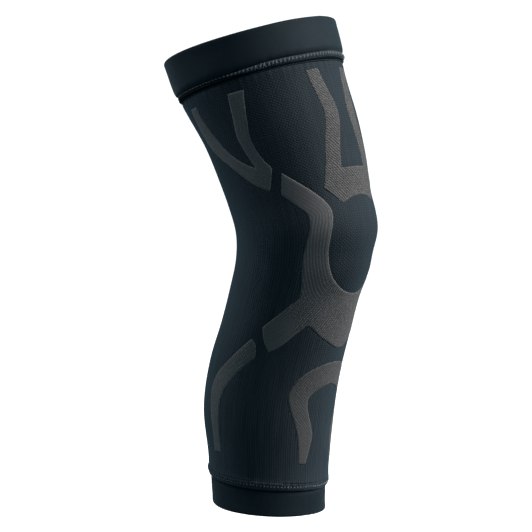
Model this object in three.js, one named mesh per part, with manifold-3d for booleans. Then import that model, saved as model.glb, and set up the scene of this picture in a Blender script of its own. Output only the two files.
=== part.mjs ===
// Knee sleeve: a knitted compression tube with grey support zones, in the bent form that it has when worn.
// Millimetres, +Z up. The front of the knee faces -Y, the left side is +X, and the origin is in the middle of
// the hollow at the height of the knee.

import * as THREE from 'three';
import { LoftGeometry } from 'three/addons/geometries/LoftGeometry.js';
import { TessellateModifier } from 'three/addons/modifiers/TessellateModifier.js';
import { mergeVertices } from 'three/addons/utils/BufferGeometryUtils.js';
import Module from 'manifold-3d';

// Lengths along the sleeve, from the origin
const thighReach = 165;
const calfReach = 225;

// Outside girths, front to back and side to side: at the top edge, across the knee and round the calf
const thighDepth = 146;
const thighWidth = 140;
const kneeDepth = 121.6;
const kneeWidth = 109.4;
const calfDepth = 111.9;
const calfWidth = 103.5;

// How far back the bend carries the middle of the top edge and of the bottom edge
const thighSetback = 58;
const calfSetback = 37.5;

// Cloth
const knitWall = 1.6;
const hemWall = 2.6;
const topHemHeight = 27;
const bottomHemHeight = 22;
const bottomHemInset = 1.4;

// Seams: an overlocked ridge beside the hem, and the rolled edge of the tube next to it
const ridgeHeight = 3.4;
const ridgeProud = 0.9;
const rollHeight = 4;
const rollProud = 1.2;

// Gap between neighbouring pieces
const clearance = 0.3;

// Facets
const facetsAround = 30;
const facetLength = 16;
const outlineStep = 12;
const splitPasses = 8;
const mergeDistance = 1e-3;

// Places along the sleeve
const seamHeight = ridgeHeight + rollHeight;
const topHemFoot = thighReach - topHemHeight;
const topSeamHead = topHemFoot - clearance;
const topSeamFoot = topSeamHead - seamHeight;
const tubeTop = topSeamFoot - clearance;
const bottomHemHead = -calfReach + bottomHemHeight;
const bottomSeamFoot = bottomHemHead + clearance;
const bottomSeamHead = bottomSeamFoot + seamHeight;
const tubeBottom = bottomSeamHead + clearance;

// Sections, from the bottom edge up. level is a share of calfReach below the origin and of thighReach
// above it. depth and width are shares of the girth that the row names, and setback is a share of calfSetback
// or thighSetback. tilt raises the section's front, in degrees. egg narrows the front and widens the back.
const girths = {
  thigh: { depth: thighDepth, width: thighWidth },
  knee: { depth: kneeDepth, width: kneeWidth },
  calf: { depth: calfDepth, width: calfWidth },
};
const sections = [
  { level: -1.0, girth: 'calf', depth: 0.86, width: 0.865, setback: 1.0, tilt: -3.4, egg: 0.08 },
  { level: -0.875, girth: 'calf', depth: 0.924, width: 0.909, setback: 1.0, tilt: -3.4, egg: 0.1 },
  { level: -0.82, girth: 'calf', depth: 0.925, width: 0.925, setback: 0.995, tilt: -3.9, egg: 0.1 },
  { level: -0.645, girth: 'calf', depth: 0.982, width: 1.0, setback: 0.969, tilt: -5.4, egg: 0.12 },
  { level: -0.47, girth: 'calf', depth: 0.982, width: 1.0, setback: 0.787, tilt: -6.4, egg: 0.13 },
  { level: -0.31, girth: 'calf', depth: 0.967, width: 0.98, setback: 0.49, tilt: -6.3, egg: 0.12 },
  { level: -0.18, girth: 'calf', depth: 0.985, width: 0.967, setback: 0.277, tilt: -4.3, egg: 0.085 },
  { level: -0.07, girth: 'knee', depth: 0.947, width: 0.947, setback: 0.067, tilt: -2.1, egg: 0.055 },
  { level: 0.06, girth: 'knee', depth: 0.99, width: 1.0, setback: -0.01, tilt: 2.4, egg: 0.03 },
  { level: 0.21, girth: 'knee', depth: 1.0, width: 1.021, setback: 0.103, tilt: 6.8, egg: 0.02 },
  { level: 0.36, girth: 'knee', depth: 1.02, width: 1.063, setback: 0.243, tilt: 10.8, egg: 0.027 },
  { level: 0.55, girth: 'thigh', depth: 0.892, width: 0.881, setback: 0.444, tilt: 14.2, egg: 0.03 },
  { level: 0.76, girth: 'thigh', depth: 0.956, width: 0.951, setback: 0.745, tilt: 16.8, egg: 0.03 },
  { level: 0.82, girth: 'thigh', depth: 0.98, width: 0.969, setback: 0.805, tilt: 17.5, egg: 0.03 },
  { level: 1.0, girth: 'thigh', depth: 1.0, width: 1.0, setback: 1.0, tilt: 18.5, egg: 0.03 },
];

// Soft forms of the knit, on both sides where around isn't 0 or 180. level is as in the sections, rise is a
// share of kneeDepth and tall of thighReach, and around and wide are in degrees.
const forms = [
  { name: 'knee cup', level: 0.0, around: 0, rise: 0.012, tall: 0.2, wide: 30 },
  { name: 'ridge under the knee cup', level: -0.26, around: 0, rise: 0.008, tall: 0.16, wide: 16 },
  { name: 'dimple beside the knee cup', level: -0.05, around: 52, rise: -0.012, tall: 0.2, wide: 15 },
  { name: 'swell above the knee cup', level: 0.36, around: 42, rise: 0.012, tall: 0.24, wide: 22 },
  { name: 'hollow behind the knee', level: -0.02, around: 180, rise: -0.02, tall: 0.34, wide: 24 },
  { name: 'side ridges behind the knee', level: 0.1, around: 140, rise: 0.01, tall: 0.34, wide: 15 },
  { name: 'swell of the calf part', level: -0.5, around: 150, rise: 0.012, tall: 0.4, wide: 24 },
];

// Zones. Each is a list of edges that meet in corners, and an edge is a smooth curve through its points.
// A point is [degrees from the front line, share of the tube's reach above or below the origin]. A zone that
// crosses the front line gives its half on one side, and the others stand once on each side.
const zones = {
  thigh_fork: {
    crossesFront: true,
    edges: [
      [[0, 0.273], [10, 0.264], [22, 0.237]],
      [[22, 0.237], [36, 0.322]],
      [[36, 0.322], [30, 0.453], [26, 0.572], [20.5, 0.704], [22, 0.845], [24.5, 0.957]],
      [[24.5, 0.957], [13.5, 0.965]],
      [[13.5, 0.965], [10.5, 0.863], [7, 0.762], [7, 0.685], [10, 0.603], [13.5, 0.52], [16, 0.419]],
      [[16, 0.419], [8, 0.419], [0, 0.421]],
    ],
  },
  knee_cradle: {
    crossesFront: true,
    edges: [
      [[0, -0.404], [8, -0.398], [24, -0.363], [34, -0.335], [42, -0.312], [48, -0.332], [61, -0.402],
        [70, -0.436]],
      [[70, -0.436], [77, -0.389], [81, -0.337]],
      [[81, -0.337], [66, -0.253], [57, -0.208], [56, -0.173], [60, -0.058], [58, 0.025], [54, 0.127],
        [54, 0.19], [60, 0.237], [70, 0.31]],
      [[70, 0.31], [65, 0.432]],
      [[65, 0.432], [56, 0.376], [40, 0.275], [34, 0.209], [35, 0.14], [38, 0.067], [39, -0.017],
        [34, -0.091], [24, -0.141], [12, -0.17], [0, -0.179]],
    ],
  },
  shin_arch: {
    crossesFront: true,
    edges: [
      [[0, -0.56], [14, -0.579], [24, -0.612], [25, -0.658], [18, -0.75], [16, -0.796], [19, -0.865],
        [22, -0.917]],
      [[22, -0.917], [30, -0.915]],
      [[30, -0.915], [31, -0.825], [35, -0.75], [43, -0.658], [45, -0.6], [38, -0.535], [28, -0.498],
        [14, -0.472], [0, -0.464]],
    ],
  },
  thigh_v: {
    crossesFront: false,
    edges: [
      [[78, 0.338], [90, 0.391], [108, 0.529], [121, 0.635], [127, 0.762], [123, 0.923]],
      [[123, 0.923], [114, 0.923]],
      [[114, 0.923], [114, 0.8], [107, 0.649], [96, 0.546], [84, 0.482]],
      [[84, 0.482], [89, 0.609], [90, 0.698], [86, 0.812], [82, 0.93]],
      [[82, 0.93], [70, 0.93]],
      [[70, 0.93], [76, 0.787], [80, 0.66], [77, 0.546], [71, 0.468]],
      [[71, 0.468], [78, 0.338]],
    ],
  },
  calf_band: {
    crossesFront: false,
    edges: [
      [[106, -0.9], [107, -0.796], [106, -0.669], [98, -0.582], [80, -0.466]],
      [[80, -0.466], [83, -0.412], [88, -0.389]],
      [[88, -0.389], [106, -0.504], [117, -0.579], [121, -0.658], [117, -0.808], [117, -0.905]],
      [[117, -0.905], [106, -0.9]],
    ],
  },
};

const knitCloth = new THREE.MeshStandardMaterial({ color: 0x1b262e, roughness: 0.85, metalness: 0 });
const zoneCloth = new THREE.MeshStandardMaterial({ color: 0x595a59, roughness: 0.9, metalness: 0 });
const hemCloth = new THREE.MeshStandardMaterial({ color: 0x161f26, roughness: 0.6, metalness: 0 });
const seamThread = new THREE.MeshStandardMaterial({ color: 0x10171c, roughness: 0.8, metalness: 0 });

const wasm = await Module();
wasm.setup();

// Stations are heights on the sleeve's middle line, where each section plane crosses it
function stationOf(level) {
  return level * (level < 0 ? calfReach : thighReach);
}

const tubeShape = new THREE.CubicInterpolant(
  sections.map((row) => stationOf(row.level)),
  sections.flatMap((row) => [
    row.setback * (row.level < 0 ? calfSetback : thighSetback),
    (row.depth * girths[row.girth].depth) / 2,
    (row.width * girths[row.girth].width) / 2,
    THREE.MathUtils.degToRad(row.tilt),
    row.egg,
  ]),
  5,
);

// Outward rise of the soft forms at a place
function formRise(station, angle) {
  let rise = 0;
  for (const form of forms) {
    const along = (station - stationOf(form.level)) / (form.tall * thighReach);
    const sides = form.around % 180 === 0 ? [form.around] : [form.around, -form.around];
    for (const side of sides) {
      const turn = THREE.MathUtils.radToDeg(angle) - side;
      const around = (THREE.MathUtils.euclideanModulo(turn + 180, 360) - 180) / form.wide;
      rise += form.rise * kneeDepth * Math.exp(-along * along - around * around);
    }
  }
  return rise;
}

// A point on the sleeve: angle runs from the front line towards +X, and inset is its depth under the surface
function sleevePoint(station, angle, inset) {
  const [setback, halfDepth, halfWidth, tilt, egg] = tubeShape.evaluate(station);
  const sin = Math.sin(angle);
  const cos = Math.cos(angle);
  const slopeX = halfWidth * (cos * (1 - egg * cos) + egg * sin * sin);
  const slopeY = halfDepth * sin;
  const normal = new THREE.Vector2(slopeY, -slopeX).normalize();
  const out = formRise(station, angle) - inset;
  const across = halfWidth * sin * (1 - egg * cos) + out * normal.x;
  const forward = -halfDepth * cos + out * normal.y;
  return new THREE.Vector3(across, setback + forward * Math.cos(tilt), station - forward * Math.sin(tilt));
}

function closedGeometry(geometry) {
  const plain = new THREE.BufferGeometry().copy(geometry);
  plain.deleteAttribute('normal');
  plain.deleteAttribute('uv');
  return mergeVertices(plain, mergeDistance);
}

// A wall all round the sleeve from a closed profile: up its outside, then down its inside
function wallRound(profile) {
  const rings = profile.map(({ station, inset }) => {
    const ring = [];
    for (let i = 0; i < facetsAround; i += 1) {
      ring.push(sleevePoint(station, (i / facetsAround) * 2 * Math.PI, inset));
    }
    return ring;
  });
  rings.push(rings[0]);
  return closedGeometry(new LoftGeometry(rings, { closed: true, capStart: false, capEnd: false }));
}

// Stations from one to the other, no further apart than a facet
function stationsBetween(from, to) {
  const steps = Math.ceil(Math.abs(to - from) / facetLength);
  return Array.from({ length: steps + 1 }, (_, i) => THREE.MathUtils.lerp(from, to, i / steps));
}

// A hem is cloth folded double: round at its free edge, square where the seam takes it
const foldTurns = [0.25, 0.5, 0.75];

function hemProfile(freeEdge, seamEdge, insetAtSeam) {
  const bend = hemWall / 2;
  const outward = Math.sign(freeEdge - seamEdge);
  const foldStart = freeEdge - outward * bend;
  const insetAt = (station) => insetAtSeam * ((station - foldStart) / (seamEdge - foldStart));
  const stations = stationsBetween(seamEdge, foldStart);
  const outside = stations.map((station) => ({ station, inset: insetAt(station) }));
  const inside = outside.map(({ station, inset }) => ({ station, inset: inset + hemWall }));
  const fold = foldTurns.map((turn) => ({
    station: foldStart + outward * bend * Math.sin(turn * Math.PI),
    inset: bend * (1 - Math.cos(turn * Math.PI)),
  }));
  const profile = [...outside, ...fold, ...inside.reverse()];
  return outward > 0 ? profile : profile.reverse();
}

// A low rounded hump along the seam
const humpShares = [0, 0.3, 0.7, 1];

function hump(from, to, proud) {
  return humpShares.map((share) => ({
    station: THREE.MathUtils.lerp(from, to, share),
    inset: -proud * Math.sin(share * Math.PI),
  }));
}

// The seam joins hem and tube: ridge next to the hem, roll next to the tube
function seamProfile(hemSide, tubeSide) {
  const step = Math.sign(tubeSide - hemSide);
  const groove = hemSide + step * ridgeHeight;
  const ridge = hump(hemSide, groove, ridgeProud);
  const roll = hump(groove, tubeSide, rollProud);
  const outside = [...ridge, ...roll.slice(1)];
  const inside = [{ station: tubeSide, inset: hemWall }, { station: hemSide, inset: hemWall }];
  const profile = [...outside, ...inside];
  return step > 0 ? profile : profile.reverse();
}

// Outline of a zone as flat points: x is the way round at the knee's radius, y the station
const flatRadius = kneeDepth / 2;
const cutMargin = 2 * knitWall;

function flatOutline(zone, side) {
  const flat = ([degrees, share]) => new THREE.Vector2(
    THREE.MathUtils.degToRad(degrees) * flatRadius,
    Math.abs(share) * (share < 0 ? tubeBottom : tubeTop),
  );
  const half = zone.edges.flatMap((edge) => {
    const curve = new THREE.SplineCurve(edge.map(flat));
    const points = curve.getSpacedPoints(Math.max(1, Math.round(curve.getLength() / outlineStep)));
    return points.slice(0, -1);
  });
  if (!zone.crossesFront) {
    return half.map((point) => new THREE.Vector2(point.x * side, point.y));
  }
  const last = flat(zone.edges.at(-1).at(-1));
  const mirrored = half.slice(1).reverse();
  return [...half, last, ...mirrored.map((point) => new THREE.Vector2(-point.x, point.y))];
}

// The outline with its edges moved outwards
function grownOutline(outline, by) {
  const turn = THREE.ShapeUtils.isClockWise(outline) ? -1 : 1;
  return outline.map((point, i) => {
    const before = point.clone().sub(outline.at(i - 1)).normalize();
    const after = outline[(i + 1) % outline.length].clone().sub(point).normalize();
    const along = before.clone().add(after).normalize();
    const reach = (by * turn) / Math.max(0.5, along.dot(after));
    return new THREE.Vector2(point.x + along.y * reach, point.y - along.x * reach);
  });
}

// A plate bent round the sleeve that reaches right through the wall, with the outline given flat
function bentPlate(outline) {
  const plate = new THREE.ExtrudeGeometry(new THREE.Shape(outline), {
    depth: knitWall + 2 * cutMargin,
    bevelEnabled: false,
  });
  const fine = new TessellateModifier(facetLength, splitPasses).modify(plate);
  const position = fine.attributes.position;
  for (let i = 0; i < position.count; i += 1) {
    const inset = knitWall + cutMargin - position.getZ(i);
    const point = sleevePoint(position.getY(i), position.getX(i) / flatRadius, inset);
    position.setXYZ(i, point.x, point.y, point.z);
  }
  return solidOf(closedGeometry(fine));
}

function solidOf(geometry) {
  return new wasm.Manifold(new wasm.Mesh({
    numProp: 3,
    vertProperties: Float32Array.from(geometry.attributes.position.array),
    triVerts: Uint32Array.from(geometry.index.array),
  }));
}

function geometryOf(solid) {
  const mesh = solid.getMesh();
  const geometry = new THREE.BufferGeometry();
  geometry.setAttribute('position', new THREE.BufferAttribute(Float32Array.from(mesh.vertProperties), 3));
  geometry.setIndex(new THREE.BufferAttribute(Uint32Array.from(mesh.triVerts), 1));
  return geometry;
}

const sleeve = new THREE.Group();

function addPiece(name, geometry, material) {
  const mesh = new THREE.Mesh(geometry, material);
  mesh.name = name;
  sleeve.add(mesh);
}

addPiece('top_band', wallRound(hemProfile(thighReach, topHemFoot, 0)), hemCloth);
addPiece('top_seam', wallRound(seamProfile(topSeamHead, topSeamFoot)), seamThread);
addPiece('bottom_seam', wallRound(seamProfile(bottomSeamFoot, bottomSeamHead)), seamThread);
addPiece('bottom_band', wallRound(hemProfile(-calfReach, bottomHemHead, bottomHemInset)), hemCloth);

// The zones, and the tube with a window for each
const tubeStations = stationsBetween(tubeBottom, tubeTop);
const tubeProfile = [
  ...tubeStations.map((station) => ({ station, inset: 0 })),
  ...tubeStations.map((station) => ({ station, inset: knitWall })).reverse(),
];
const wall = solidOf(wallRound(tubeProfile));
let tube = wall;

function addZone(name, zone, side) {
  const outline = flatOutline(zone, side);
  addPiece(name, geometryOf(wall.intersect(bentPlate(outline))), zoneCloth);
  tube = tube.subtract(bentPlate(grownOutline(outline, clearance)));
}

for (const [name, zone] of Object.entries(zones)) {
  if (zone.crossesFront) {
    addZone(name, zone, 1);
  } else {
    addZone(`${name}_left`, zone, 1);
    addZone(`${name}_right`, zone, -1);
  }
}
addPiece('sleeve_body', geometryOf(tube), knitCloth);

export default sleeve;
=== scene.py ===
"""Looks of the knee sleeve.

Every piece is meshed here from the same tables as the CAD source.
Metres, with +Z up and the front towards -Y.
"""
import math

import bpy
import numpy as np
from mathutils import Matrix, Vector


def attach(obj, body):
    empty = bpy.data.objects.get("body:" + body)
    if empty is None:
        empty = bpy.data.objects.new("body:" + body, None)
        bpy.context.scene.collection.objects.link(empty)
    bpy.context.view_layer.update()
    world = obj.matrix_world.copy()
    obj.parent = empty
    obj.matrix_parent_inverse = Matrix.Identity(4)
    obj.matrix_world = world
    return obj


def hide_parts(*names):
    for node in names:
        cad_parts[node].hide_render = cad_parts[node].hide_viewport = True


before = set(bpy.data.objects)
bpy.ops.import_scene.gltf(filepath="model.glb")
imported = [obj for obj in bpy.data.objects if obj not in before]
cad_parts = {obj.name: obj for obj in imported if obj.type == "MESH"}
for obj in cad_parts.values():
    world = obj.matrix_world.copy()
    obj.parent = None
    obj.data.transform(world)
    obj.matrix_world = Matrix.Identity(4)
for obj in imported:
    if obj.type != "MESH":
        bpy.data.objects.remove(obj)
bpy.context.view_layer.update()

# Driving sizes, as in the CAD source
THIGH_REACH, CALF_REACH = 0.165, 0.225
GIRTHS = {"thigh": (0.146, 0.140), "knee": (0.1216, 0.1094), "calf": (0.1119, 0.1035)}
THIGH_SETBACK, CALF_SETBACK = 0.058, 0.0375
KNIT_WALL, HEM_WALL = 0.0016, 0.0026
TOP_HEM, BOTTOM_HEM, BOTTOM_HEM_INSET = 0.027, 0.022, 0.0014
RIDGE, ROLL, CLEARANCE = 0.0034, 0.0040, 0.0003

TOP_HEM_FOOT = THIGH_REACH - TOP_HEM
TOP_SEAM_HEAD = TOP_HEM_FOOT - CLEARANCE
TOP_SEAM_FOOT = TOP_SEAM_HEAD - RIDGE - ROLL
TUBE_TOP = TOP_SEAM_FOOT - CLEARANCE
BOTTOM_HEM_HEAD = -CALF_REACH + BOTTOM_HEM
BOTTOM_SEAM_FOOT = BOTTOM_HEM_HEAD + CLEARANCE
BOTTOM_SEAM_HEAD = BOTTOM_SEAM_FOOT + RIDGE + ROLL
TUBE_BOTTOM = BOTTOM_SEAM_HEAD + CLEARANCE

# level, girth, depth, width, setback, tilt in degrees, egg
SECTIONS = [
    (-1.0, "calf", 0.86, 0.865, 1.0, -3.4, 0.08),
    (-0.875, "calf", 0.924, 0.909, 1.0, -3.4, 0.1),
    (-0.82, "calf", 0.925, 0.925, 0.995, -3.9, 0.1),
    (-0.645, "calf", 0.982, 1.0, 0.969, -5.4, 0.12),
    (-0.47, "calf", 0.982, 1.0, 0.787, -6.4, 0.13),
    (-0.31, "calf", 0.967, 0.98, 0.49, -6.3, 0.12),
    (-0.18, "calf", 0.985, 0.967, 0.277, -4.3, 0.085),
    (-0.07, "knee", 0.947, 0.947, 0.067, -2.1, 0.055),
    (0.06, "knee", 0.99, 1.0, -0.01, 2.4, 0.03),
    (0.21, "knee", 1.0, 1.021, 0.103, 6.8, 0.02),
    (0.36, "knee", 1.02, 1.063, 0.243, 10.8, 0.027),
    (0.55, "thigh", 0.892, 0.881, 0.444, 14.2, 0.03),
    (0.76, "thigh", 0.956, 0.951, 0.745, 16.8, 0.03),
    (0.82, "thigh", 0.98, 0.969, 0.805, 17.5, 0.03),
    (1.0, "thigh", 1.0, 1.0, 1.0, 18.5, 0.03),
]
# level, degrees around, rise as a share of the knee's depth,
# height as a share of the thigh reach, degrees wide
FORMS = [
    (0.0, 0, 0.012, 0.2, 30),
    (-0.26, 0, 0.008, 0.16, 16),
    (-0.05, 52, -0.012, 0.2, 15),
    (0.36, 42, 0.012, 0.24, 22),
    (-0.02, 180, -0.02, 0.34, 24),
    (0.1, 140, 0.01, 0.34, 15),
    (-0.5, 150, 0.012, 0.4, 24),
]
# Shallow dents round the knee cup and behind it, at most 1.4 mm deep, that only the looks have
FORMS += [
    (0.24, 24, -0.0115, 0.085, 28),
    (-0.02, 24, -0.0105, 0.06, 28),
    (0.0, 146, -0.0055, 0.42, 24),
]
# Outlines of the grey zones: degrees from the front line, share of the tube's reach. Edges meet in corners.
ZONES = {
    "thigh_fork": (True, [
        [(0, 0.273), (10, 0.264), (22, 0.237)],
        [(22, 0.237), (36, 0.322)],
        [(36, 0.322), (30, 0.453), (26, 0.572), (20.5, 0.704), (22, 0.845), (24.5, 0.957)],
        [(24.5, 0.957), (13.5, 0.965)],
        [(13.5, 0.965), (10.5, 0.863), (7, 0.762), (7, 0.685), (10, 0.603), (13.5, 0.52), (16, 0.419)],
        [(16, 0.419), (8, 0.419), (0, 0.421)],
    ]),
    "knee_cradle": (True, [
        [(0, -0.404), (8, -0.398), (24, -0.363), (34, -0.335), (42, -0.312), (48, -0.332), (61, -0.402),
         (70, -0.436)],
        [(70, -0.436), (77, -0.389), (81, -0.337)],
        [(81, -0.337), (66, -0.253), (57, -0.208), (56, -0.173), (60, -0.058), (58, 0.025), (54, 0.127),
         (54, 0.19), (60, 0.237), (70, 0.31)],
        [(70, 0.31), (65, 0.432)],
        [(65, 0.432), (56, 0.376), (40, 0.275), (34, 0.209), (35, 0.14), (38, 0.067), (39, -0.017),
         (34, -0.091), (24, -0.141), (12, -0.17), (0, -0.179)],
    ]),
    "shin_arch": (True, [
        [(0, -0.56), (14, -0.579), (24, -0.612), (25, -0.658), (18, -0.75), (16, -0.796), (19, -0.865),
         (22, -0.917)],
        [(22, -0.917), (30, -0.915)],
        [(30, -0.915), (31, -0.825), (35, -0.75), (43, -0.658), (45, -0.6), (38, -0.535), (28, -0.498),
         (14, -0.472), (0, -0.464)],
    ]),
    "thigh_v": (False, [
        [(78, 0.338), (90, 0.391), (108, 0.529), (121, 0.635), (127, 0.762), (123, 0.923)],
        [(123, 0.923), (114, 0.923)],
        [(114, 0.923), (114, 0.8), (107, 0.649), (96, 0.546), (84, 0.482)],
        [(84, 0.482), (89, 0.609), (90, 0.698), (86, 0.812), (82, 0.93)],
        [(82, 0.93), (70, 0.93)],
        [(70, 0.93), (76, 0.787), (80, 0.66), (77, 0.546), (71, 0.468)],
        [(71, 0.468), (78, 0.338)],
    ]),
    "calf_band": (False, [
        [(106, -0.9), (107, -0.796), (106, -0.669), (98, -0.582), (80, -0.466)],
        [(80, -0.466), (83, -0.412), (88, -0.389)],
        [(88, -0.389), (106, -0.504), (117, -0.579), (121, -0.658), (117, -0.808), (117, -0.905)],
        [(117, -0.905), (106, -0.9)],
    ]),
}
# Painted light: a brightness factor for each zone, raised on the zones at the sides and back that lie in
# shade and lowered on the lit front ones
ZONE_PAINTED_LIGHT = {"thigh_fork": 0.90, "knee_cradle": 1.16, "shin_arch": 0.95, "thigh_v": 1.12, "calf_band": 1.12}
KNEE_DEPTH = GIRTHS["knee"][0]
FLAT_RADIUS = KNEE_DEPTH / 2
WALES = 168
TURN = 2 * math.pi
WALE = TURN * FLAT_RADIUS / WALES
COURSE = 0.0016

# Soft unevenness of the tube, and its form above the bottom seam
SOFT_WAVE = 0.00025
FOOT_LIFT, FOOT_LIFT_FADE = 0.0026, 0.045
PUFF_MIDDLE, PUFF_REACH = BOTTOM_SEAM_FOOT + 0.0050, 0.0030
PUFF_FRONT, PUFF_SIDE, PUFF_PUCKER = 0.00085, 0.00010, 0.00018

# A zone's cells, how deep its layer starts, and how far the zone and its ribs stand out
CELL = 0.0006
ZONE_DEPTH, ZONE_STAND, ZONE_RIBS, RIB_PITCH = 0.0006, 0.00022, 0.00024, 0.0027
# The width and drop of a zone's edge, and how far its border cells are drawn to the outline, as a share
ZONE_EDGE, ZONE_EDGE_DROP, ZONE_SNAP = 0.0016, 0.00010, 0.92
# How deep the tube gives way under a zone, and how far round the outline that is worked out
ZONE_BED, ZONE_MARGIN = 0.0009, 0.003

# How finely the rings and threads are meshed
BODY_COLUMNS, HEM_COLUMNS, SEAM_COLUMNS = 4 * WALES, 300, 720
INNER_ROWS, THREAD_SIDES = 56, 6

# The way from its seam over which a hem's swell sets in, and how deep the top seam's profile starts
HEM_STAND, SEAM_SINK = 0.003, 0.0004
# The bottom seam's stitch line above the seam's foot, and the number of stitches in a row
STITCH_LINE = 0.0040
STITCHES_TOP, STITCHES_BOTTOM = 128, 112


def station_of(level):
    return level * (CALF_REACH if level < 0 else THIGH_REACH)


KNOTS = np.array([
    (
        station_of(level),
        setback * (CALF_SETBACK if level < 0 else THIGH_SETBACK),
        depth * GIRTHS[girth][0] / 2,
        width * GIRTHS[girth][1] / 2,
        math.radians(tilt),
        egg,
    )
    for level, girth, depth, width, setback, tilt, egg in SECTIONS
])
SECANTS = np.diff(KNOTS[:, 1:], axis=0) / np.diff(KNOTS[:, 0])[:, None]
SLOPES = np.vstack([SECANTS[:1], (SECANTS[1:] + SECANTS[:-1]) / 2, SECANTS[-1:]])


def section_at(station):
    i = np.clip(np.searchsorted(KNOTS[:, 0], station, side="right") - 1, 0, len(KNOTS) - 2)
    step = (KNOTS[i + 1, 0] - KNOTS[i, 0])[..., None]
    p = (station[..., None] - KNOTS[i, 0][..., None]) / step
    return (
        (2 * p**3 - 3 * p**2 + 1) * KNOTS[i, 1:]
        + (p**3 - 2 * p**2 + p) * step * SLOPES[i]
        + (3 * p**2 - 2 * p**3) * KNOTS[i + 1, 1:]
        + (p**3 - p**2) * step * SLOPES[i + 1]
    )


def form_rise(station, angle):
    rise = np.zeros(station.shape)
    for level, around, share, tall, wide in FORMS:
        along = (station - station_of(level)) / (tall * THIGH_REACH)
        for side in ({around, -around} if around % 180 else {around}):
            turn = ((np.degrees(angle) - side + 180) % 360 - 180) / wide
            rise += share * KNEE_DEPTH * np.exp(-along**2 - turn**2)
    return rise


def surface(station, angle, out):
    """Points of the worn form, moved outwards by out. The angle runs from the front line towards +X."""
    station, angle, out = np.broadcast_arrays(station, angle, out)
    setback, depth, width, tilt, egg = np.moveaxis(section_at(station), -1, 0)
    sin, cos = np.sin(angle), np.cos(angle)
    slope_x = width * (cos * (1 - egg * cos) + egg * sin**2)
    slope_y = depth * sin
    length = np.hypot(slope_x, slope_y)
    rise = form_rise(station, angle) + out
    across = width * sin * (1 - egg * cos) + rise * slope_y / length
    forward = -depth * cos - rise * slope_x / length
    return np.stack([across, setback + forward * np.cos(tilt), station - forward * np.sin(tilt)], -1)


def ripples(station, angle, seed, waves, around, along):
    """A smooth uneven field between about -1 and 1 that closes round the sleeve."""
    rng = np.random.default_rng(seed)
    field = np.zeros(np.broadcast(station, angle).shape)
    for _ in range(waves):
        turns = rng.integers(around[0], around[1] + 1)
        pitch = rng.uniform(*along)
        phase = rng.uniform(0, TURN)
        lean = rng.choice([-1, 1])
        field = field + np.cos(turns * angle + lean * TURN * station / pitch + phase)
    return field / math.sqrt(waves)


def smooth_step(low, high, x):
    t = np.clip((x - low) / (high - low), 0, 1)
    return t * t * (3 - 2 * t)


def hump(x, middle, reach):
    return np.exp(-((x - middle) / reach) ** 2)


def degrees_away(angle):
    """Degrees from the front line, counted alike to both sides."""
    return np.degrees(np.abs(angle))


def soft_waves(station, angle):
    """Slow unevenness that the tube and its zones share."""
    return SOFT_WAVE * ripples(station, angle, seed=3, waves=9, around=(2, 7), along=(0.09, 0.2))


def foot_lift(angle):
    """How much higher the bottom seam runs at the back."""
    return FOOT_LIFT * hump(degrees_away(angle), 155, 45)


def raised(station, angle):
    """A station of the tube, which follows the bottom seam's rise near its foot."""
    return station + foot_lift(angle) * (1 - smooth_step(0, FOOT_LIFT_FADE, station - TUBE_BOTTOM))


def foot_puff(station, angle):
    """The fullness just above the bottom seam, with small puckers."""
    pucker = ripples(station * 0.2, angle, seed=5, waves=12, around=(24, 70), along=(0.05, 0.1))
    full = PUFF_FRONT + PUFF_SIDE * smooth_step(50, 110, degrees_away(angle))
    return hump(station, PUFF_MIDDLE, PUFF_REACH) * (full + PUFF_PUCKER * pucker)


def spline(points, spacing):
    points = np.array(points)
    samples = []
    for i in range(len(points) - 1):
        p0, p1 = points[max(i - 1, 0)], points[i]
        p2, p3 = points[i + 1], points[min(i + 2, len(points) - 1)]
        m1, m2 = (p2 - p0) / 2, (p3 - p1) / 2
        count = max(2, int(np.linalg.norm(p2 - p1) / spacing))
        t = np.arange(count)[:, None] / count
        cubic = 2 * p1 - 2 * p2 + m1 + m2
        square = -3 * p1 + 3 * p2 - 2 * m1 - m2
        samples.append(cubic * t**3 + square * t**2 + m1 * t + p1)
    return np.vstack(samples)


def zone_outline(name, side):
    """The outline laid flat, and which of its segments the ribs are measured from.

    Those are the inner edge of the cradle, and the long edges of every other zone.
    """
    crosses, edges = ZONES[name]
    leading = [edges[-1]] if name == "knee_cradle" else [edge for edge in edges if len(edge) > 3]

    def flat(point):
        degrees, share = point
        return math.radians(degrees) * FLAT_RADIUS, abs(share) * (TUBE_BOTTOM if share < 0 else TUBE_TOP)

    lines = [spline([flat(p) for p in edge], 0.001) for edge in edges]
    half = np.vstack(lines)
    leads = np.concatenate([np.full(len(line), edge in leading) for line, edge in zip(lines, edges)])
    if not crosses:
        return half * (side, 1), leads
    last = np.array([flat(edges[-1][-1])])
    return np.vstack([half, last, half[:0:-1] * (-1, 1)]), np.concatenate([leads, leads[::-1]])


def inside(outline, x, y):
    ax, ay = outline[:, 0], outline[:, 1]
    bx, by = np.roll(ax, -1), np.roll(ay, -1)
    within = np.zeros(x.shape, bool)
    for x0, y0, x1, y1 in zip(ax, ay, bx, by):
        if y0 != y1:
            within ^= ((y0 > y) != (y1 > y)) & (x < (x1 - x0) * (y - y0) / (y1 - y0) + x0)
    return within


def nearest(outline, x, y, kept=None):
    """Distance from each point to the kept segments of the outline, and the nearest place on them."""
    start, end = outline, np.roll(outline, -1, axis=0)
    if kept is not None:
        start, end = start[kept], end[kept]
    span = end - start
    length = np.maximum((span**2).sum(1), 1e-18)
    best = np.full(x.shape, 1e9)
    at = np.zeros(x.shape + (2,))
    point = np.stack([x, y], -1)
    for a, d, n in zip(start, span, length):
        t = np.clip(((point - a) @ d) / n, 0, 1)
        q = a + t[..., None] * d
        gap = np.hypot(*(point - q).T).T
        closer = gap < best
        best = np.where(closer, gap, best)
        at[closer] = q[closer]
    return best, at


PIECES = []


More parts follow.
